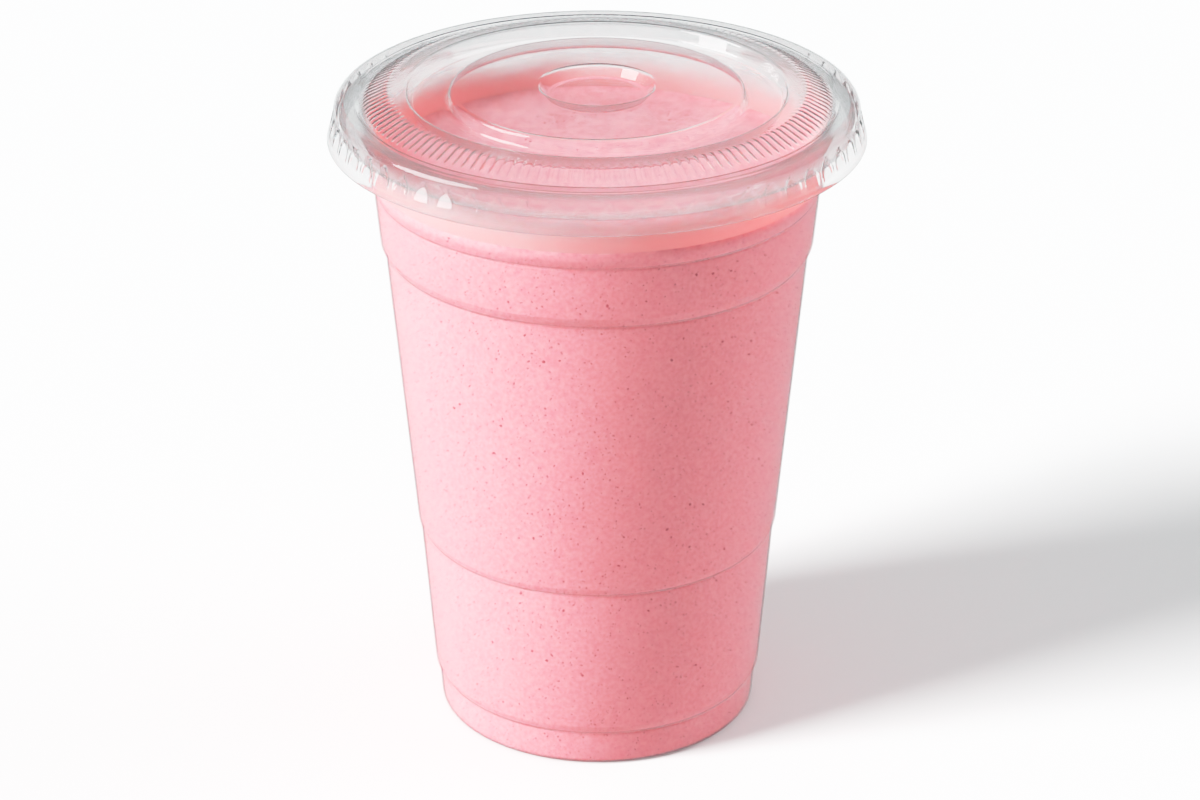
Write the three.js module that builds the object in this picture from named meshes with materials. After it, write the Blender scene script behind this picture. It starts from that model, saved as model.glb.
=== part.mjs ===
// A takeaway cup of strawberry milkshake: a thin clear plastic cup with a rolled lip, the thick pink
// shake that fills it nearly to the lip, and a clear flat lid that covers the lip.
// Millimetres, +Z up. The origin is the centre of the foot, on the surface that the cup stands on.

import * as THREE from "three";

// Driving dimensions

const FACETS = 48; // round every turned piece, so that nested pieces share their facets
const ARC_DIVISIONS = 3; // each round stretch of a section gets twice as many steps
const CLEARANCE = 0.4; // left between pieces that touch in the real thing

const CUP_WALL = 0.6;
const BASE_RISE = 2.2; // the base is pushed up inside the foot
const BASE_R = 25.6;
const FOOT_INNER_R = 27.4;
const FOOT_OUTER_R = 30.3;
const HEEL_R = 1.3; // round edge between the foot and the wall
const RIM_R = 49.1; // outside of the rolled lip
const RIM_TOP = 127.4;
const LIP_BEND_R = 1.9; // inside of the lip's roll
const LIP_END_ANGLE = -40; // the roll ends this far below level, in degrees

// The wall has four shallow steps. Each one is [height, outside radius] at its foot and at its head.
const HEEL_STEP = { foot: [7.1, 32.05], head: [8.9, 32.75] };
const LOW_STEP = { foot: [39.3, 35.15], head: [40.9, 35.65] };
const STACKING_LEDGE = { foot: [98.2, 40.85], head: [100.2, 41.75] };
const TOP_STEP = { foot: [110.6, 42.75], head: [112.3, 43.25] };

const FILL_LEVEL = 113.2;

const LID_WALL = 0.45;
const DIMPLE_FLOOR_R = 9.4; // round hollow in the middle of the lid
const DIMPLE_RIM_R = 11;
const DIMPLE_FLOOR_Z = 128.5;
const PANEL_INNER_Z = 130.7; // the panel falls a little towards its edge
const PANEL_EDGE_R = 27.8;
const PANEL_EDGE_Z = 130.2;
const CHANNEL_INNER_R = 29; // ring-shaped channel round the panel
const CHANNEL_OUTER_R = 35;
const CHANNEL_Z = 127.4;
const COLLAR_INNER_R = 36.4; // flat collar outside the channel
const COLLAR_OUTER_R = 39.6;
const COLLAR_Z = 130.3;
const SLOPE_FOOT_R = 44.3; // slope from the collar down to the bead
const SLOPE_FOOT_Z = 128;
const BEAD_INNER_R = 46.2; // smooth bead over the cup's lip
const BEAD_TOP = 128.35;
const BEAD_OUTER_R = 50;
const BEAD_ROUND_R = 1.7;
const SKIRT_R = 51.2; // the skirt flares down to a turned-out edge
const SKIRT_EDGE_R = 51.5;
const SKIRT_EDGE_TOP = 121.7;
const SKIRT_BOTTOM = 120.9;

// Section paths, drawn as (radius, height)

// The outside of the cup, from the middle of its base up the wall and round the lip.
function cupOutside() {
  const lipR = RIM_R - CUP_WALL - LIP_BEND_R;
  const lipZ = RIM_TOP - CUP_WALL - LIP_BEND_R;
  const path = new THREE.Path();
  path.moveTo(0, BASE_RISE);
  path.lineTo(BASE_R, BASE_RISE);
  path.lineTo(FOOT_INNER_R, 0);
  path.absarc(FOOT_OUTER_R, HEEL_R, HEEL_R, -Math.PI / 2, 0, false);
  for (const step of [HEEL_STEP, LOW_STEP, STACKING_LEDGE, TOP_STEP]) {
    for (const [height, radius] of [step.foot, step.head]) {
      path.lineTo(radius, height);
    }
  }
  path.absarc(lipR, lipZ, LIP_BEND_R, Math.PI, THREE.MathUtils.degToRad(LIP_END_ANGLE), true);
  return path.getPoints(ARC_DIVISIONS);
}

// The top of the lid, from its middle out to the lower edge of the skirt.
function lidTop() {
  const path = new THREE.Path();
  path.moveTo(0, DIMPLE_FLOOR_Z);
  path.lineTo(DIMPLE_FLOOR_R, DIMPLE_FLOOR_Z);
  path.lineTo(DIMPLE_RIM_R, PANEL_INNER_Z);
  path.lineTo(PANEL_EDGE_R, PANEL_EDGE_Z);
  path.lineTo(CHANNEL_INNER_R, CHANNEL_Z);
  path.lineTo(CHANNEL_OUTER_R, CHANNEL_Z);
  path.lineTo(COLLAR_INNER_R, COLLAR_Z);
  path.lineTo(COLLAR_OUTER_R, COLLAR_Z);
  path.lineTo(SLOPE_FOOT_R, SLOPE_FOOT_Z);
  path.lineTo(BEAD_INNER_R, BEAD_TOP);
  path.absarc(BEAD_OUTER_R - BEAD_ROUND_R, BEAD_TOP - BEAD_ROUND_R, BEAD_ROUND_R, Math.PI / 2, 0, true);
  path.lineTo(SKIRT_R, SKIRT_EDGE_TOP);
  path.lineTo(SKIRT_EDGE_R, SKIRT_BOTTOM);
  return path.getPoints(ARC_DIVISIONS);
}

// A path moved sideways, to the left of its direction where distance is positive, with mitred corners.
function beside(path, distance) {
  const normals = path.slice(1).map((point, i) => {
    const along = point.clone().sub(path[i]).normalize();
    return new THREE.Vector2(-along.y, along.x);
  });
  return path.map((point, i) => {
    const before = normals[Math.max(i - 1, 0)];
    const after = normals[Math.min(i, normals.length - 1)];
    const mitre = before.clone().add(after).divideScalar(1 + before.dot(after));
    return point.clone().addScaledVector(mitre, distance);
  });
}

// The stretch of a rising path that lies below a level, closed by a flat top that runs to the axis.
function filledTo(path, level) {
  const above = path.findIndex((point) => point.y > level);
  const last = path[above - 1];
  const next = path[above];
  const edge = last.clone().lerp(next, (level - last.y) / (next.y - last.y));
  return [...path.slice(0, above), edge, new THREE.Vector2(0, level)];
}

// A solid of revolution about +Z. Its section starts and ends on the axis.
function turned(name, section, material) {
  const geometry = new THREE.LatheGeometry(section, FACETS);
  geometry.rotateX(Math.PI / 2);
  const mesh = new THREE.Mesh(geometry, material);
  mesh.name = name;
  return mesh;
}

// The pieces

// Thermoformed cup: one thin skin that follows the outside at an even thickness.
function cup(outside) {
  const inside = beside(outside, CUP_WALL);
  const clearPlastic = new THREE.MeshStandardMaterial({
    color: "#f4f6f7",
    roughness: 0.08,
    metalness: 0,
    transparent: true,
    opacity: 0.25,
  });
  return turned("cup", [...outside, ...inside.reverse()], clearPlastic);
}

// The shake takes the shape of the cup's inside, up to its level surface.
function milkshake(outside) {
  const contact = beside(outside, CUP_WALL + CLEARANCE);
  const pinkShake = new THREE.MeshStandardMaterial({ color: "#f0a3ac", roughness: 0.45, metalness: 0 });
  return turned("milkshake", filledTo(contact, FILL_LEVEL), pinkShake);
}

// Thermoformed lid: a thin skin with raised rings, a bead over the lip and a skirt round it.
function lid() {
  const top = lidTop();
  const underside = beside(top, -LID_WALL);
  const clearPlastic = new THREE.MeshStandardMaterial({
    color: "#f4f6f7",
    roughness: 0.06,
    metalness: 0,
    transparent: true,
    opacity: 0.25,
  });
  return turned("lid", [...underside, ...top.reverse()], clearPlastic);
}

const outside = cupOutside();
const drink = new THREE.Group();
drink.add(cup(outside), milkshake(outside), lid());

export default drink;
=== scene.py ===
import math

import bmesh
import bpy
import numpy as np
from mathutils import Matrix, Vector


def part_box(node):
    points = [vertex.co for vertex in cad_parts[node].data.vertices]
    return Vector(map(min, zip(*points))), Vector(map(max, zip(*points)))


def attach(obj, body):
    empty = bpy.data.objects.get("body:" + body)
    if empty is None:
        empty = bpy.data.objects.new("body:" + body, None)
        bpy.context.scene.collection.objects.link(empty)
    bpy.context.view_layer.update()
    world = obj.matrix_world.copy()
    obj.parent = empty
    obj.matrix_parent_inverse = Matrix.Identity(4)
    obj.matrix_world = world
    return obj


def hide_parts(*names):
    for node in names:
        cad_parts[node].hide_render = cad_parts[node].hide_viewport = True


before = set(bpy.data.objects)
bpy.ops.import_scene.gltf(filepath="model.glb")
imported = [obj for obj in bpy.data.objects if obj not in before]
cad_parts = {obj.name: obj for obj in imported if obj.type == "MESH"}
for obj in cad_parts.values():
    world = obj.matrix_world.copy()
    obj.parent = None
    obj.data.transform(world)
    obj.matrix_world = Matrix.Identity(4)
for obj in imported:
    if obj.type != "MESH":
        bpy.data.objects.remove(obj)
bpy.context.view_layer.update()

# Clear cup
# A disposable cup, drawn in one heat from a thin sheet of clear PET. The wall widens towards the lip in
# four shallow steps that keep stacked cups apart. The base is pushed up and the lip is rolled outwards.
MM = 0.001
CUP_WALL = 0.6
CUP_AROUND = 240  # columns of faces round the cup
ROUND_STEPS = 6  # faces along each rounded corner of a section
BASE_RISE = 2.2
BASE_R = 25.6
BASE_ROUND = 1.0
FOOT_INNER_R = 27.4
FOOT_INNER_ROUND = 0.9
FOOT_OUTER_R = 30.3
HEEL_ROUND = 1.3
HEEL_START_ANGLE = -80  # just past the flat foot, where the heel's round edge begins
RIM_R = 49.1
RIM_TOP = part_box("cup")[1].z / MM
LIP_BEND_R = 1.9
LIP_END_ANGLE = -60
LIP_STEPS = 24

# Each step of the wall is (outside radius, height) at its foot, a sharp inside corner, and at its round head.
WALL_STEPS = [
    ((32.05, 7.1), (32.75, 8.9)),
    ((35.15, 39.3), (35.65, 40.9)),
    ((40.85, 98.2), (41.75, 100.2)),
    ((42.75, 110.6), (43.25, 112.3)),
]
STEP_FOOT_ROUND = 0.1
STEP_HEAD_ROUND = 1.2


def arc(centre, radius, start, end, steps):
    """Points of a circular arc in a section, as (radius, height), with angles in degrees."""
    angles = np.radians(np.linspace(start, end, steps + 1))
    return [(centre[0] + radius * math.cos(a), centre[1] + radius * math.sin(a)) for a in angles]


def rounded(corners):
    """A section's path through corners given as (radius, height, rounding), with each rounding as an arc."""
    path = [corners[0][:2]]
    for before, corner, after in zip(corners, corners[1:], corners[2:]):
        point = np.array(corner[:2])
        back = np.array(before[:2]) - point
        on = np.array(after[:2]) - point
        back /= np.linalg.norm(back)
        on /= np.linalg.norm(on)
        half_angle = 0.5 * math.acos(np.clip(back @ on, -1, 1))
        straight_on = half_angle > 0.499 * math.pi
        if corner[2] == 0 or straight_on:
            path.append(tuple(point))
            continue
        inwards = (back + on) / np.linalg.norm(back + on)
        centre = point + inwards * corner[2] / math.sin(half_angle)
        trim = corner[2] / math.tan(half_angle)
        first = point + back * trim - centre
        last = point + on * trim - centre
        start = math.atan2(first[1], first[0])
        turn = math.remainder(math.atan2(last[1], last[0]) - start, 2 * math.pi)
        path += arc(centre, corner[2], math.degrees(start), math.degrees(start + turn), ROUND_STEPS)
    path.append(corners[-1][:2])
    return path


def side_normals(path):
    """The unit normal at each point of a path, to the left of its direction."""
    points = np.array(path)
    along = np.diff(points, axis=0)
    along /= np.linalg.norm(along, axis=1)[:, None]
    left = np.stack([-along[:, 1], along[:, 0]], axis=1)
    both = np.vstack([left[:1], left[:-1] + left[1:], left[-1:]])
    lengths = np.ones(len(both))
    lengths[1:-1] = 1 + np.sum(left[:-1] * left[1:], axis=1)
    return both / lengths[:, None]


def beside(path, distance):
    """A path moved sideways, to the left of its direction where distance is positive."""
    return [tuple(p) for p in np.array(path) + distance * side_normals(path)]


def mesh_piece(name, vertices, faces):
    """A smooth-shaded object from vertices in millimetres."""
    mesh = bpy.data.meshes.new(name)
    mesh.from_pydata((np.asarray(vertices) * MM).tolist(), [], faces)
    mesh.polygons.foreach_set("use_smooth", [True] * len(mesh.polygons))
    mesh.validate()
    piece = bpy.data.objects.new(name, mesh)
    bpy.context.scene.collection.objects.link(piece)
    return piece


def swept_round(section, around):
    """Vertices of a section's points swept round the axis, one row of them for each point."""
    angles = np.linspace(0, 2 * math.pi, around, endpoint=False)
    ring = np.array(section)
    vertices = np.empty((len(ring), around, 3))
    vertices[:, :, 0] = ring[:, :1] * np.cos(angles)
    vertices[:, :, 1] = ring[:, :1] * np.sin(angles)
    vertices[:, :, 2] = ring[:, 1:]
    return vertices.reshape(-1, 3)


def turned(name, section, around):
    """A solid of revolution from a section that starts and ends on the axis, with one vertex at each end."""
    vertices = swept_round(section[1:-1], around)
    ends = [(0, 0, section[0][1]), (0, 0, section[-1][1])]
    first_end = len(vertices)
    last_row = first_end - around
    faces = []
    for j in range(around):
        k = (j + 1) % around
        faces.append((first_end, k, j))
        faces.append((last_row + j, last_row + k, first_end + 1))
        for low in range(0, last_row, around):
            high = low + around
            faces.append((low + j, low + k, high + k, high + j))
    return mesh_piece(name, np.vstack([vertices, ends]), faces)


lip_centre = (RIM_R - CUP_WALL - LIP_BEND_R, RIM_TOP - CUP_WALL - LIP_BEND_R)
foot_corners = [
    (0, BASE_RISE, 0),
    (BASE_R, BASE_RISE, BASE_ROUND),
    (FOOT_INNER_R, 0, FOOT_INNER_ROUND),
    (FOOT_OUTER_R, 0, 0),
]
wall_corners = [(FOOT_OUTER_R + HEEL_ROUND, HEEL_ROUND, 0)]
for foot, head in WALL_STEPS:
    wall_corners.append((*foot, STEP_FOOT_ROUND))
    wall_corners.append((*head, STEP_HEAD_ROUND))
wall_corners.append((lip_centre[0] - LIP_BEND_R, lip_centre[1], 0))
cup_outside = rounded(foot_corners)
cup_outside += arc((FOOT_OUTER_R, HEEL_ROUND), HEEL_ROUND, HEEL_START_ANGLE, 0, ROUND_STEPS)[:-1]
cup_outside += rounded(wall_corners)
cup_outside += arc(lip_centre, LIP_BEND_R, 180, LIP_END_ANGLE, LIP_STEPS)[1:]
cup_inside = beside(cup_outside, CUP_WALL)
cup = turned("clear_cup", cup_outside + cup_inside[::-1], CUP_AROUND)


def srgb(code):
    """A colour written as sRGB hex, as linear red, green, blue and alpha."""
    channels = [int(code[i : i + 2], 16) / 255 for i in (1, 3, 5)]
    return (*[c / 12.92 if c <= 0.04045 else ((c + 0.055) / 1.055) ** 2.4 for c in channels], 1)


def add_node(tree, kind, settings, links):
    """Adds a node, sets its properties and plain inputs by name, and links other nodes' outputs to it."""
    made = tree.nodes.new(kind)
    for name, value in settings.items():
        if isinstance(name, str) and hasattr(made, name):
            setattr(made, name, value)
        else:
            made.inputs[name].default_value = value
    for name, source in links.items():
        tree.links.new(source, made.inputs[name])
    return made


def new_material(name):
    """An empty material with its node tree."""
    material = bpy.data.materials.new(name)
    material.use_nodes = True
    material.node_tree.nodes.clear()
    return material, material.node_tree


# Thermoformed PET: clear and glossy, with the faint waviness that a drawn sheet keeps, so that highlights
# break up a little. Lamps shine through it, as they do through so thin a skin, but less at a slant. Its fold
# at the foot is darkened with painted shade.
PET_TINT = "#FAFBFB"
PET_FOOT_PAINTED_SHADE = "#8C6F73"  # painted shade: the fold at the foot is coloured dark for the shade of the gap under the cup
FOOT_SHADE_MM = (1.1, 0.2)  # the heights between which the painted shade at the foot sets in
PET_SHADE = "#FAFBFB"
PET_MIRRORED = "#000000"  # at a slant the skin mirrors the lamps' light away
SLANT_POWER = 5  # how suddenly that sets in
PET_GREY = "#CBCDCE"
CUP_DENSITY = 240  # per metre, so that long ways through the skin, at its edges and folds, look grey
PET_IOR = 1.575
PET_ROUGHNESS = (0.01, 0.04)
PET_WAVE_MM = 16
PET_WAVE_HEIGHT_MM = 0.4
CUP_GLOSS = 0.5  # the shake wets the wall, which so mirrors and bends less than the dry lid


def thermoformed_pet(name, gloss, density):
    """Clear PET with a share of full gloss and a density of its grey, both for one piece."""
    pet, tree = new_material(name)
    place = add_node(tree, "ShaderNodeTexCoord", {}, {})
    waves = add_node(
        tree,
        "ShaderNodeTexNoise",
        {"Scale": 1 / (PET_WAVE_MM * MM), "Detail": 2.0, "Roughness": 0.4},
        {"Vector": place.outputs["Object"]},
    )
    roughness = add_node(
        tree,
        "ShaderNodeMapRange",
        {"From Min": 0.35, "From Max": 0.65, "To Min": PET_ROUGHNESS[0], "To Max": PET_ROUGHNESS[1]},
        {"Value": waves.outputs["Fac"]},
    )
    ripple = add_node(
        tree,
        "ShaderNodeBump",
        {"Strength": 0.02, "Distance": PET_WAVE_HEIGHT_MM * MM},
        {"Height": waves.outputs["Fac"]},
    )
    # Painted shade: the colour darkens at the foot fold, standing in for the shade in the gap under the cup.
    split = add_node(tree, "ShaderNodeSeparateXYZ", {}, {"Vector": place.outputs["Object"]})
    foot_shade_share = add_node(
        tree,
        "ShaderNodeMapRange",
        {
            "interpolation_type": "SMOOTHSTEP",
            "From Min": FOOT_SHADE_MM[0] * MM,
            "From Max": FOOT_SHADE_MM[1] * MM,
        },
        {"Value": split.outputs["Z"]},
    )
    tint_and_foot_shade = add_node(
        tree,
        "ShaderNodeMix",
        {"data_type": "RGBA", 6: srgb(PET_TINT), 7: srgb(PET_FOOT_PAINTED_SHADE)},
        {0: foot_shade_share.outputs["Result"]},
    )
    skin = add_node(
        tree,
        "ShaderNodeBsdfPrincipled",
        {"IOR": PET_IOR, "Transmission Weight": 1.0, "Alpha": gloss},
        {
            "Base Color": tint_and_foot_shade.outputs[2],
            "Roughness": roughness.outputs["Result"],
            "Normal": ripple.outputs["Normal"],
        },
    )
    slant = add_node(tree, "ShaderNodeLayerWeight", {}, {})
    loss = add_node(
        tree,
        "ShaderNodeMath",
        {"operation": "POWER", 1: SLANT_POWER},
        {0: slant.outputs["Facing"]},
    )
    shade = add_node(
        tree,
        "ShaderNodeMix",
        {"data_type": "RGBA", 6: srgb(PET_SHADE), 7: srgb(PET_MIRRORED)},
        {0: loss.outputs["Value"]},
    )
    let_through = add_node(tree, "ShaderNodeBsdfTransparent", {}, {"Color": shade.outputs[2]})
    ray = add_node(tree, "ShaderNodeLightPath", {}, {})
    surface = add_node(
        tree,
        "ShaderNodeMixShader",
        {},
        {0: ray.outputs["Is Shadow Ray"], 1: skin.outputs["BSDF"], 2: let_through.outputs["BSDF"]},
    )
    grey = add_node(
        tree,
        "ShaderNodeVolumeAbsorption",
        {"Color": srgb(PET_GREY), "Density": density},
        {},
    )
    add_node(
        tree,
        "ShaderNodeOutputMaterial",
        {},
        {"Surface": surface.outputs["Shader"], "Volume": grey.outputs["Volume"]},
    )
    return pet


cup.data.materials.append(thermoformed_pet("thermoformed_PET_cup", CUP_GLOSS, CUP_DENSITY))
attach(cup, "root")
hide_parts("cup")

# Strawberry milkshake
# Milk, ice cream and strawberries blended smooth and poured to just under the lip. It wets the wall all
# round, so no air shows between them, and creeps up it at the edge of its surface.
FILL_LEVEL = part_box("milkshake")[1].z / MM
INTO_WALL = 0.2
MENISCUS_RISE = 1.0
MENISCUS_REACH = 1.6
CALM_REACH = 3 * MENISCUS_REACH  # the swell dies out over this distance from the wall
SURFACE_RINGS = 60
RING_CROWDING = 1.5  # above 1, the rings lie closer together at the wall
SURFACE_SWELL = 0.45
SWELL_LENGTHS = (9, 31)
SWELL_WAVES = 12
LEVEL_TOLERANCE = 0.01
CREASE_DEPTH = 0.36  # the sharp inside corner of each step leaves a fine crease in the shake
CREASE_HALF_WIDTH = 0.3
CREASE_OFFSETS = np.linspace(-0.5, 0.5, 9)
shake_random = np.random.default_rng(7)


def below(path, level):
    """The stretch of a rising path that lies under a level, ending on it."""
    above = next(i for i, point in enumerate(path) if point[1] > level)
    last = np.array(path[above - 1])
    following = np.array(path[above])
    edge = last + (following - last) * (level - last[1]) / (following[1] - last[1])
    return [*path[:above], tuple(edge)]


shake_side = below(beside(cup_outside, CUP_WALL - INTO_WALL), FILL_LEVEL + MENISCUS_RISE)
foot_count = sum(1 for _, z in shake_side if z <= HEEL_ROUND)
side_r, side_z = np.array(shake_side[foot_count:]).T
step_feet = np.array([foot[1] for foot, _ in WALL_STEPS])
creased_z = np.unique(np.concatenate([side_z, (step_feet[:, None] + CREASE_OFFSETS).ravel()]))
creased_r = np.interp(creased_z, side_z, side_r)
for foot_z in step_feet:
    creased_r -= CREASE_DEPTH * np.exp(-(((creased_z - foot_z) / CREASE_HALF_WIDTH) ** 2))
edge_r = creased_r[-1]
surface_r = edge_r * (1 - np.linspace(0, 1, SURFACE_RINGS) ** RING_CROWDING)[1:]
surface_z = FILL_LEVEL + MENISCUS_RISE * np.exp((surface_r - edge_r) / MENISCUS_REACH)
shake_section = shake_side[:foot_count] + list(zip(creased_r, creased_z)) + list(zip(surface_r, surface_z))
shake = turned("milkshake_body", shake_section, CUP_AROUND)


def swell(x, y):
    """A low random swell, from -1 to 1, as waves of different lengths and headings."""
    heights = np.zeros_like(x)
    for _ in range(SWELL_WAVES):
        length = shake_random.uniform(*SWELL_LENGTHS)
        heading = shake_random.uniform(0, 2 * math.pi)
        phase = shake_random.uniform(0, 2 * math.pi)
        heights += np.sin((x * math.cos(heading) + y * math.sin(heading)) * 2 * math.pi / length + phase)
    return heights / SWELL_WAVES


points = np.empty(len(shake.data.vertices) * 3)
shake.data.vertices.foreach_get("co", points)
points = points.reshape(-1, 3) / MM
calm = np.clip((edge_r - np.hypot(points[:, 0], points[:, 1])) / CALM_REACH, 0, 1)
on_top = points[:, 2] > FILL_LEVEL - LEVEL_TOLERANCE
points[:, 2] += on_top * calm * SURFACE_SWELL * swell(points[:, 0], points[:, 1])
shake.data.vertices.foreach_set("co", (points * MM).ravel())
shake.data.update()

# Blended strawberry milk: opaque and soft, because light scatters a little way into it and comes out
# redder. Unmixed fruit and cream leave faint mottling, and patches of froth lie on its surface. Where the
# surface faces up its colour is also paler as painted light, standing in for the light from above.
SHAKE_PINK = "#EC9199"
SHAKE_CREAM = "#F29CA4"
SHAKE_FRUIT = "#E3828C"
SHAKE_FROTH_AND_TOP_LIGHT = "#FFA4AC"  # fine air bubbles make the surface paler, and its upward faces are also painted paler as painted light from above
SHAKE_IOR = 1.36
SCATTER_MM = 0.7
SCATTER_BY_COLOUR = (1.0, 0.35, 0.3)
MOTTLE_MM = 0.8
FROTH_PATCH_MM = 2.2
FROTH_MM = 0.5  # the real froth is finer than the render can show
PORE_DEPTH_MM = 0.05
milk, tree = new_material("blended_strawberry_milk")
place = add_node(tree, "ShaderNodeTexCoord", {}, {})
mottle = add_node(
    tree,
    "ShaderNodeTexNoise",
    {"Scale": 1 / (MOTTLE_MM * MM), "Detail": 3.0, "Roughness": 0.55},
    {"Vector": place.outputs["Object"]},
)
cream = add_node(
    tree,
    "ShaderNodeMapRange",
    {"From Min": 0.5, "From Max": 0.75},
    {"Value": mottle.outputs["Fac"]},
)
fruit = add_node(
    tree,
    "ShaderNodeMapRange",
    {"From Min": 0.5, "From Max": 0.25},
    {"Value": mottle.outputs["Fac"]},
)
paler = add_node(
    tree,
    "ShaderNodeMix",
    {"data_type": "RGBA", 6: srgb(SHAKE_PINK), 7: srgb(SHAKE_CREAM)},
    {0: cream.outputs["Result"]},
)
redder = add_node(
    tree,
    "ShaderNodeMix",
    {"data_type": "RGBA", 7: srgb(SHAKE_FRUIT)},
    {0: fruit.outputs["Result"], 6: paler.outputs[2]},
)
facing = add_node(tree, "ShaderNodeNewGeometry", {}, {})
split = add_node(tree, "ShaderNodeSeparateXYZ", {}, {"Vector": facing.outputs["Normal"]})
# Painted light: besides the real froth, the colour pales where the surface faces up, for the light that falls
# on it from above.
facing_up_share = add_node(
    tree,
    "ShaderNodeMapRange",
    {"From Min": 0.4, "From Max": 0.8},
    {"Value": split.outputs["Z"]},
)
patches = add_node(
    tree,
    "ShaderNodeTexNoise",
    {"Scale": 1 / (FROTH_PATCH_MM * MM), "Detail": 4.0, "Roughness": 0.6},
    {"Vector": place.outputs["Object"]},
)
patch_share = add_node(
    tree,
    "ShaderNodeMapRange",
    {"From Min": 0.4, "From Max": 0.6},
    {"Value": patches.outputs["Fac"]},
)
froth_and_top_light_share = add_node(
    tree,
    "ShaderNodeMath",
    {"operation": "MULTIPLY"},
    {0: facing_up_share.outputs["Result"], 1: patch_share.outputs["Result"]},
)
frothy_and_top_lit = add_node(
    tree,
    "ShaderNodeMix",
    {"data_type": "RGBA", 7: srgb(SHAKE_FROTH_AND_TOP_LIGHT)},
    {0: froth_and_top_light_share.outputs["Value"], 6: redder.outputs[2]},
)
froth = add_node(
    tree,
    "ShaderNodeTexNoise",
    {"Scale": 1 / (FROTH_MM * MM), "Detail": 2.0},
    {"Vector": place.outputs["Object"]},
)
pores = add_node(
    tree,
    "ShaderNodeBump",
    {"Strength": 0.2, "Distance": PORE_DEPTH_MM * MM},
    {"Height": froth.outputs["Fac"]},
)
body = add_node(
    tree,
    "ShaderNodeBsdfPrincipled",
    {
        "Roughness": 0.42,
        "IOR": SHAKE_IOR,
        "Specular IOR Level": 0.3,
        "Subsurface Weight": 1.0,
        "Subsurface Radius": SCATTER_BY_COLOUR,
        "Subsurface Scale": SCATTER_MM * MM,
    },
    {"Base Color": frothy_and_top_lit.outputs[2], "Normal": pores.outputs["Normal"]},
)
add_node(tree, "ShaderNodeOutputMaterial", {}, {"Surface": body.outputs["BSDF"]})
shake.data.materials.append(milk)
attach(shake, "root")
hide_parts("milkshake")

# Milk coat
# The thin coat that the shake left on the wall when it was poured and carried. It is thick at the surface
# and thins out upwards, and light shines through it.
COAT_UNDER_SURFACE = 0.8
COAT_TOP = 124.3
COAT_FADE = 116.5  # up to here the coat hides what is behind it
COAT_INTO_WALL = 0.12
COAT_THICKNESS = 0.18
COAT_STREAK_MM = 12
COAT_WANDER_MM = 3  # how far the streaks reach up and down


def turned_ring(name, loop, around):
    """A solid of revolution from a closed section that stays clear of the axis."""
    faces = []
    for i in range(len(loop)):
        low = i * around
        high = (i + 1) % len(loop) * around
        for j in range(around):
            k = (j + 1) % around
            faces.append((low + j, low + k, high + k, high + j))
    return mesh_piece(name, swept_round(loop, around), faces)


coat_outside = below(beside(cup_outside, CUP_WALL - COAT_INTO_WALL), COAT_TOP)
coat_outside = [point for point in coat_outside if point[1] > FILL_LEVEL - COAT_UNDER_SURFACE]
coat_inside = beside(coat_outside, COAT_INTO_WALL + COAT_THICKNESS)
coat = turned_ring("milk_coat", coat_outside + coat_inside[::-1], CUP_AROUND)

# Thin coat of strawberry milk: translucent, so it glows salmon where light comes through it. It pales as it
# thins and ends in soft streaks.
COAT_PINK = "#F69EA0"
COAT_THIN = "#FFD8DB"
COAT_SCATTER_MM = 1.6
COAT_GLOW = "#FADADB"  # the tint of lamp light that has passed through the coat
NO_COAT = "#FFFFFF"
thin_milk, tree = new_material("thin_coat_of_strawberry_milk")
place = add_node(tree, "ShaderNodeTexCoord", {}, {})
split = add_node(tree, "ShaderNodeSeparateXYZ", {}, {"Vector": place.outputs["Object"]})
streaks = add_node(
    tree,
    "ShaderNodeTexNoise",
    {"Scale": 1 / (COAT_STREAK_MM * MM), "Detail": 3.0},
    {"Vector": place.outputs["Object"]},
)
wander = add_node(
    tree,
    "ShaderNodeMath",
    {"operation": "MULTIPLY_ADD", 1: COAT_WANDER_MM * MM},
    {0: streaks.outputs["Fac"], 2: split.outputs["Z"]},
)
cover = add_node(
    tree,
    "ShaderNodeMapRange",
    {"interpolation_type": "SMOOTHSTEP", "From Min": COAT_TOP * MM, "From Max": COAT_FADE * MM},
    {"Value": wander.outputs["Value"]},
)
tone = add_node(
    tree,
    "ShaderNodeMix",
    {"data_type": "RGBA", 6: srgb(COAT_THIN), 7: srgb(COAT_PINK)},
    {0: cover.outputs["Result"]},
)
smear = add_node(
    tree,
    "ShaderNodeBsdfPrincipled",
    {
        "Roughness": 0.35,
        "IOR": SHAKE_IOR,
        "Specular IOR Level": 0.3,
        "Subsurface Weight": 1.0,
        "Subsurface Radius": SCATTER_BY_COLOUR,
        "Subsurface Scale": COAT_SCATTER_MM * MM,
    },
    {"Base Color": tone.outputs[2], "Alpha": cover.outputs["Result"]},
)
glow = add_node(
    tree,
    "ShaderNodeMix",
    {"data_type": "RGBA", 6: srgb(NO_COAT), 7: srgb(COAT_GLOW)},
    {0: cover.outputs["Result"]},
)
let_through = add_node(tree, "ShaderNodeBsdfTransparent", {}, {"Color": glow.outputs[2]})
ray = add_node(tree, "ShaderNodeLightPath", {}, {})
surface = add_node(
    tree,
    "ShaderNodeMixShader",
    {},
    {0: ray.outputs["Is Shadow Ray"], 1: smear.outputs["BSDF"], 2: let_through.outputs["BSDF"]},
)
add_node(tree, "ShaderNodeOutputMaterial", {}, {"Surface": surface.outputs["Shader"]})
coat.data.materials.append(thin_milk)
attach(coat, "root")

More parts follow.
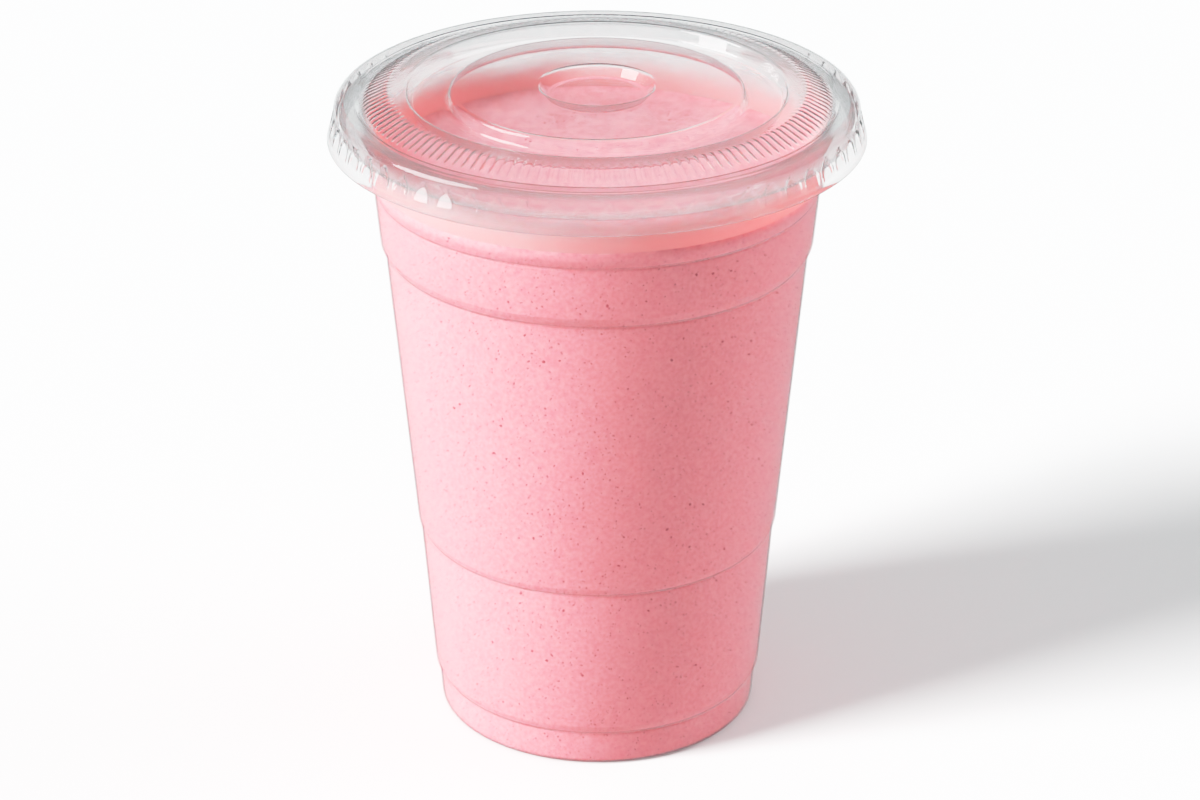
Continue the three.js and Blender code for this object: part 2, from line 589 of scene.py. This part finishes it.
# Strawberry flecks
# Bits of fruit skin and pulp that the blender left whole. They are spread through the shake, and those
# that lie against the wall or at the surface show as fine red points.
FLECK_KINDS = {  # name: (number, smallest and largest length in mm, colour, second colour, mesh divisions)
    "fruit_flecks": (950, (0.32, 0.7), "#B4505C", "#C1646E", 1),
    "fruit_pulp": (8000, (0.3, 0.58), "#D17B85", "#C8707A", 0),
}
FLECK_WIDTHS = (0.35, 0.8)  # as shares of the length
FLECK_FLATNESS = 0.3
FLECK_UNEVEN = 0.25
FLECK_EDGE_GAP = 1  # left free on the surface, next to the wall
FLECK_HEIGHTS = 2000  # heights on the wall to choose from
FLECK_COLOUR_MM = 5
fleck_random = np.random.default_rng(21)


def blob(divisions):
    """Vertices and triangles of a small ball with a radius of one."""
    ball = bmesh.new()
    bmesh.ops.create_icosphere(ball, subdivisions=divisions + 1, radius=1.0)
    vertices = np.array([v.co[:] for v in ball.verts])
    triangles = np.array([[v.index for v in face.verts] for face in ball.faces])
    ball.free()
    return vertices, triangles


def flecks_on_shake(name, count, lengths, divisions):
    """Flat irregular bits, each lying in the skin of the shake, spread evenly over its wall and surface."""
    ball, triangles = blob(divisions)
    wall_z = np.linspace(HEEL_ROUND, FILL_LEVEL, FLECK_HEIGHTS)
    wall_r = np.interp(wall_z, creased_z, creased_r)
    wall_share = wall_r.mean() * 2 * (FILL_LEVEL - HEEL_ROUND)
    wall_share /= wall_share + edge_r ** 2
    vertices = []
    for _ in range(count):
        turn = fleck_random.uniform(0, 2 * math.pi)
        outwards = np.array([math.cos(turn), math.sin(turn), 0])
        sideways = np.array([-math.sin(turn), math.cos(turn), 0])
        if fleck_random.random() < wall_share:
            z = fleck_random.choice(wall_z, p=wall_r / wall_r.sum())
            centre = outwards * np.interp(z, wall_z, wall_r) + np.array([0, 0, z])
            up = np.array([0, 0, 1.0])
            normal = outwards
        else:
            centre = outwards * (edge_r - FLECK_EDGE_GAP) * math.sqrt(fleck_random.random())
            centre[2] = FILL_LEVEL
            up = outwards
            normal = np.array([0, 0, 1.0])
        length = lengths[0] + (lengths[1] - lengths[0]) * fleck_random.random() ** 2
        width = length * fleck_random.uniform(*FLECK_WIDTHS)
        tilt = fleck_random.uniform(0, math.pi)
        long_way = sideways * math.cos(tilt) + up * math.sin(tilt)
        short_way = up * math.cos(tilt) - sideways * math.sin(tilt)
        uneven = fleck_random.uniform(1 - FLECK_UNEVEN, 1 + FLECK_UNEVEN, (len(ball), 1))
        half = np.array([length, width, length * FLECK_FLATNESS]) / 2
        vertices.append(centre + (ball * uneven * half) @ np.array([long_way, short_way, normal]))
    firsts = np.arange(count)[:, None, None] * len(ball)
    return mesh_piece(name, np.vstack(vertices), (firsts + triangles).reshape(-1, 3).tolist())


# Strawberry pulp: soft wet fruit, a duller red than the shake round it, with each bit a little different.
for name, (count, lengths, colour, second_colour, divisions) in FLECK_KINDS.items():
    flecks = flecks_on_shake(name, count, lengths, divisions)
    pulp, tree = new_material(f"strawberry_{name}")
    place = add_node(tree, "ShaderNodeTexCoord", {}, {})
    varied = add_node(
        tree,
        "ShaderNodeTexNoise",
        {"Scale": 1 / (FLECK_COLOUR_MM * MM), "Detail": 1.0},
        {"Vector": place.outputs["Object"]},
    )
    share = add_node(
        tree,
        "ShaderNodeMapRange",
        {"From Min": 0.3, "From Max": 0.7},
        {"Value": varied.outputs["Fac"]},
    )
    red = add_node(
        tree,
        "ShaderNodeMix",
        {"data_type": "RGBA", 6: srgb(colour), 7: srgb(second_colour)},
        {0: share.outputs["Result"]},
    )
    flesh = add_node(
        tree,
        "ShaderNodeBsdfPrincipled",
        {"Roughness": 0.5, "IOR": SHAKE_IOR, "Specular IOR Level": 0.2},
        {"Base Color": red.outputs[2]},
    )
    add_node(tree, "ShaderNodeOutputMaterial", {}, {"Surface": flesh.outputs["BSDF"]})
    flecks.data.materials.append(pulp)
    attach(flecks, "root")

# Flat lid
# A snap-on lid, drawn from the same clear PET. Rings stiffen its top, fine ribs run down the slope outside
# them, and a round bead covers the cup's lip. Shallow arched hollows let the skirt spread as it snaps on.
LID_WALL = 0.32
LID_GLOSS = 0.95
LID_DENSITY = 340
RIBS = 144
RIB_HEIGHT = 0.33
RIB_END = 1 / 6  # the share of its length over which a rib rises at each end
RIB_SHARPNESS = 4  # the higher, the narrower the rib
RIB_STEPS = 11
HOLLOWS = 60
HOLLOW_DEPTH = 0.65
HOLLOW_TOP = 126.0
HOLLOW_BOTTOM = 122.6
HOLLOW_HALF_WIDTH = 0.36  # as a share of the spacing
HOLLOW_SIDE = 0.042  # the width of its sloping side, as a share of the spacing
ARCH_HEIGHT = 0.5  # the share of the hollow's height that its round arch takes
SKIRT_STEPS = 11

# Columns of faces round each stretch of the lid, in whole multiples of each other
DISC_AROUND = 144
SLOPE_AROUND = 8 * RIBS
BEAD_AROUND = 288
SKIRT_AROUND = 24 * HOLLOWS

# Each corner of the lid's top is (radius, height, rounding), from its middle to the outside of the slope.
DISC_CORNERS = [
    (0, 128.5, 0),
    (9.4, 128.5, 1.0),
    (11.0, 130.7, 1.0),
    (28.0, 130.2, 1.1),
    (28.6, 127.4, 1.1),
    (35.2, 127.4, 1.1),
    (36.1, 130.3, 0.9),
    (38.4, 130.3, 0),
]
SLOPE_HEAD = (39.6, 130.3)
SLOPE_FOOT = (44.3, 128.0)
BEAD_CORNERS = [(45.0, 127.75, 0.5), (46.0, 128.35, 0.9)]
BEAD_TOP = 128.35
BEAD_FLAT = 0.3
BEAD_OUTER_R = 50
BEAD_ROUND = 1.7
BEAD_END_ANGLE = 8
BEAD_STEPS = 8
SKIRT_HEAD = (50.05, 126.2)
SKIRT_FOOT = (51.05, 121.75)
SKIRT_EDGE = (51.35, 121.1)
EDGE_ROUND_ANGLES = (60, 30, 0, -30, -60)


def stretch(start, end, steps):
    """Evenly spaced points from start to end."""
    return [tuple(p) for p in np.linspace(start, end, steps + 1)]


lid_disc = rounded(DISC_CORNERS)
lid_slope = stretch(SLOPE_HEAD, SLOPE_FOOT, RIB_STEPS)
bead_centre = (BEAD_OUTER_R - BEAD_ROUND, BEAD_TOP - BEAD_ROUND)
bead_flat_start = (bead_centre[0] - BEAD_FLAT, BEAD_TOP, 0)
lid_bead = rounded([(*SLOPE_FOOT, 0), *BEAD_CORNERS, bead_flat_start])[1:]
lid_bead += arc(bead_centre, BEAD_ROUND, 90, BEAD_END_ANGLE, BEAD_STEPS)
lid_skirt = stretch(SKIRT_HEAD, SKIRT_FOOT, SKIRT_STEPS)
lid_edge = [SKIRT_EDGE]

along_rib = np.linspace(0, 1, RIB_STEPS + 1)
rib_run = np.clip(np.minimum(along_rib, 1 - along_rib) / RIB_END, 0, 1)
rib_turn = np.linspace(0, RIBS, SLOPE_AROUND, endpoint=False) % 1
rib_wave = np.sin(math.pi * rib_turn) ** RIB_SHARPNESS
rib_relief = RIB_HEIGHT * rib_run[:, None] * rib_wave
hollow_turn = np.abs(np.linspace(0, HOLLOWS, SKIRT_AROUND, endpoint=False) % 1 - 0.5)
down_hollow = (HOLLOW_TOP - np.array(lid_skirt)[:, 1:]) / (HOLLOW_TOP - HOLLOW_BOTTOM)
arch = HOLLOW_HALF_WIDTH * np.sqrt(np.clip(down_hollow / ARCH_HEIGHT, 0, 1))
inside_arch = np.clip((arch - hollow_turn) / HOLLOW_SIDE, 0, 1)
hollow_relief = -HOLLOW_DEPTH * np.clip(1 - down_hollow, 0, 1) * inside_arch

lid_vertices = []
lid_faces = []
lid_path = [*lid_disc[1:], *lid_slope, *lid_bead, *lid_skirt, *lid_edge]
lid_normals = side_normals(lid_path)
lid_relief = [
    np.zeros((len(lid_disc) - 1, DISC_AROUND)),
    rib_relief,
    np.zeros((len(lid_bead), BEAD_AROUND)),
    hollow_relief,
    np.zeros((len(lid_edge), SKIRT_AROUND)),
]


def add_ring(point, normal, lifts):
    """Adds a ring of vertices at a point of the section, lifted along its normal, and gives their numbers."""
    angles = np.linspace(0, 2 * math.pi, len(lifts), endpoint=False)
    radius = point[0] + lifts * normal[0]
    height = point[1] + lifts * normal[1]
    first = len(lid_vertices)
    lid_vertices.extend(np.stack([radius * np.cos(angles), radius * np.sin(angles), height], axis=1))
    return list(range(first, first + len(lifts)))


def add_faces(near, far, upwards):
    """Faces between two rings, one with a whole number of times as many vertices as the other."""
    coarse, fine = sorted((near, far), key=len)
    finer = len(fine) // len(coarse)
    for j in range(len(coarse)):
        fine_side = [fine[(j * finer + i) % len(fine)] for i in range(finer + 1)]
        face = [coarse[(j + 1) % len(coarse)], coarse[j], *fine_side]
        lid_faces.append(face if (coarse is near) == upwards else face[::-1])


edges = []
for lower, upwards in ((0, True), (-LID_WALL, False)):
    lifts = [row + lower for relief in lid_relief for row in relief]
    rings = [add_ring(*row) for row in zip(lid_path, lid_normals, lifts)]
    middle = len(lid_vertices)
    lid_vertices.append((0, 0, lid_disc[0][1] + lower))
    for j in range(DISC_AROUND):
        face = [middle, rings[0][j], rings[0][(j + 1) % DISC_AROUND]]
        lid_faces.append(face if upwards else face[::-1])
    for near, far in zip(rings, rings[1:]):
        add_faces(near, far, upwards)
    edges.append(rings[-1])
edge_along = np.array(SKIRT_EDGE) - np.array(SKIRT_FOOT)
edge_along /= np.linalg.norm(edge_along)
edge_rings = [edges[0]]
for angle in np.radians(EDGE_ROUND_ANGLES):
    out_of_middle = math.sin(angle) * lid_normals[-1] + math.cos(angle) * edge_along
    point = np.array(SKIRT_EDGE) + LID_WALL / 2 * (out_of_middle - lid_normals[-1])
    edge_rings.append(add_ring(point, (0, 0), np.zeros(SKIRT_AROUND)))
edge_rings.append(edges[1])
for near, far in zip(edge_rings, edge_rings[1:]):
    add_faces(near, far, True)
lid = mesh_piece("clear_lid", lid_vertices, lid_faces)
lid.data.materials.append(thermoformed_pet("thermoformed_PET_lid", LID_GLOSS, LID_DENSITY))
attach(lid, "root")
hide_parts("lid")

# Studio
# A sheet of white paper to stand on, a broad soft lamp low on the left, weaker lamps on the other sides and
# a dim pale room. The camera looks down on the cup as the photographer did.
PAPER_WHITE = "#E8E8E8"
PAPER_HALF = 4.0  # in metres
PAPER_TOOTH_MM = 1.5
PAPER_TOOTH_DEPTH_MM = 0.1
paper = bpy.data.meshes.new("white_paper")
corners = [(-1, -1, 0), (1, -1, 0), (1, 1, 0), (-1, 1, 0)]
paper.from_pydata([(x * PAPER_HALF, y * PAPER_HALF, z) for x, y, z in corners], [], [(0, 1, 2, 3)])
floor = bpy.data.objects.new("white_paper", paper)
bpy.context.scene.collection.objects.link(floor)
matt, tree = new_material("uncoated_paper")
place = add_node(tree, "ShaderNodeTexCoord", {}, {})
tooth = add_node(
    tree,
    "ShaderNodeTexNoise",
    {"Scale": 1 / (PAPER_TOOTH_MM * MM), "Detail": 3.0},
    {"Vector": place.outputs["Object"]},
)
grain = add_node(
    tree,
    "ShaderNodeBump",
    {"Strength": 0.05, "Distance": PAPER_TOOTH_DEPTH_MM * MM},
    {"Height": tooth.outputs["Fac"]},
)
sheet = add_node(
    tree,
    "ShaderNodeBsdfPrincipled",
    {"Base Color": srgb(PAPER_WHITE), "Roughness": 0.9, "Specular IOR Level": 0.1},
    {"Normal": grain.outputs["Normal"]},
)
add_node(tree, "ShaderNodeOutputMaterial", {}, {"Surface": sheet.outputs["BSDF"]})
paper.materials.append(matt)
floor.visible_glossy = False  # the sheet ends near the cup, so the plastic mirrors the dim room round it

# The surroundings that light the scene and that the plastic mirrors: a dim room that is brighter overhead,
# the pale backdrop low behind the cup, and the table below. Their bounds are shares of a unit sphere.
SKY_WHITE = "#F8FCFD"
SKY_AT_HORIZON = 0.22
SKY_AT_TOP = 0.7
TABLE_STRENGTH = 0.36
TABLE_EDGE = -0.1
BACKDROP_STRENGTH = 0.9
BACKDROP_TOP = (0.3, 0.1)
BACKDROP_SIDES = (0.86, 0.98)
world = bpy.data.worlds.new("white_studio")
bpy.context.scene.world = world
world.use_nodes = True
tree = world.node_tree
tree.nodes.clear()
place = add_node(tree, "ShaderNodeTexCoord", {}, {})
split = add_node(tree, "ShaderNodeSeparateXYZ", {}, {"Vector": place.outputs["Generated"]})
height = add_node(
    tree,
    "ShaderNodeMath",
    {"operation": "POWER", 1: 2.0},
    {0: split.outputs["Z"]},
)
sky = add_node(
    tree,
    "ShaderNodeMapRange",
    {"To Min": SKY_AT_HORIZON, "To Max": SKY_AT_TOP},
    {"Value": height.outputs["Value"]},
)
low = add_node(
    tree,
    "ShaderNodeMapRange",
    {
        "interpolation_type": "SMOOTHSTEP",
        "From Min": BACKDROP_TOP[0],
        "From Max": BACKDROP_TOP[1],
        "To Max": BACKDROP_STRENGTH,
    },
    {"Value": split.outputs["Z"]},
)
behind = add_node(
    tree,
    "ShaderNodeMapRange",
    {"interpolation_type": "SMOOTHSTEP", "From Min": BACKDROP_SIDES[0], "From Max": BACKDROP_SIDES[1]},
    {"Value": split.outputs["Y"]},
)
above_table = add_node(
    tree,
    "ShaderNodeMath",
    {"operation": "MULTIPLY_ADD"},
    {0: low.outputs["Result"], 1: behind.outputs["Result"], 2: sky.outputs["Result"]},
)
table = add_node(
    tree,
    "ShaderNodeMapRange",
    {"From Min": 0.0, "From Max": TABLE_EDGE, "To Max": TABLE_STRENGTH},
    {"Value": split.outputs["Z"]},
)
surroundings = add_node(
    tree,
    "ShaderNodeMath",
    {"operation": "ADD"},
    {0: above_table.outputs["Value"], 1: table.outputs["Result"]},
)
surround = add_node(
    tree,
    "ShaderNodeBackground",
    {"Color": srgb(SKY_WHITE)},
    {"Strength": surroundings.outputs["Value"]},
)
add_node(tree, "ShaderNodeOutputWorld", {}, {"Surface": surround.outputs["Background"]})

# The lamps are wide and far away. The plastic mirrors only the softbox, and the others only give light.
LAMPS = {  # name: (azimuth, height and spread in degrees, strength, colour, mirrored)
    "key_left": (203, 33, 20, 7.9, "#FFFFFF", False),
    "left_wall": (162, 18, 60, 3.3, "#FFFFFF", False),
    "fill_right": (8, 15, 60, 2.9, "#F4FAFB", False),
    "fill_front": (300, 25, 80, 0.4, "#F4FAFB", False),
    "softbox": (190, 30, 40, 3.4, "#FFFFFF", True),
}
for name, (azimuth, lamp_height, spread, lamp_strength, colour, mirrored) in LAMPS.items():
    lamp = bpy.data.lights.new(name, "SUN")
    lamp.energy = lamp_strength
    lamp.color = srgb(colour)[:3]
    lamp.angle = math.radians(spread)
    hung = bpy.data.objects.new(name, lamp)
    hung.rotation_euler = (0, math.radians(90 - lamp_height), math.radians(azimuth))
    hung.visible_diffuse = not mirrored
    hung.visible_glossy = mirrored
    hung.visible_transmission = False
    bpy.context.scene.collection.objects.link(hung)

# A black card keeps the light of the left wall off the paper.
shaded = bpy.data.collections.new("behind_black_card")
shaded.objects.link(floor)
shaded.collection_objects[0].light_linking.link_state = "EXCLUDE"
bpy.data.objects["left_wall"].light_linking.receiver_collection = shaded

# The camera is fitted to the rings of the lid and the cup in the photograph, 1200 pixels wide.
PHOTO_WIDTH = 1200
PHOTO_FOCAL = 3695.8
SENSOR = 36.0
CAMERA_PLACE = (0.55, -657.8, 376.8)
CAMERA_PITCH = math.radians(25.40)
BOUNCES = 16  # enough for light to get through both skins of the cup and the lid
lens = bpy.data.cameras.new("camera")
lens.sensor_width = SENSOR
lens.lens = SENSOR * PHOTO_FOCAL / PHOTO_WIDTH
camera = bpy.data.objects.new("camera", lens)
camera.location = [c * MM for c in CAMERA_PLACE]
camera.rotation_euler = (math.pi / 2 - CAMERA_PITCH, 0, 0)
bpy.context.scene.collection.objects.link(camera)
bpy.context.scene.camera = camera
bpy.context.scene.cycles.max_bounces = BOUNCES
bpy.context.scene.cycles.transmission_bounces = BOUNCES
bpy.context.scene.cycles.transparent_max_bounces = BOUNCES

# The film's response: highlights roll off softly, so that bright pink pales instead of turning red.
RESPONSE_WHITE = 2.4
ALL_COLOURS = 3  # the curve that red, green and blue share
RESPONSE = [(0.3, 0.3), (0.65, 0.645), (0.9, 0.785), (1.27, 0.905), (1.57, 0.972)]  # (light, shown)
view = bpy.context.scene.view_settings
view.view_transform = "Standard"
view.use_curve_mapping = True
view.curve_mapping.white_level = [RESPONSE_WHITE] * 3
for light, shown in RESPONSE:
    view.curve_mapping.curves[ALL_COLOURS].points.new(light / RESPONSE_WHITE, shown)
view.curve_mapping.update()
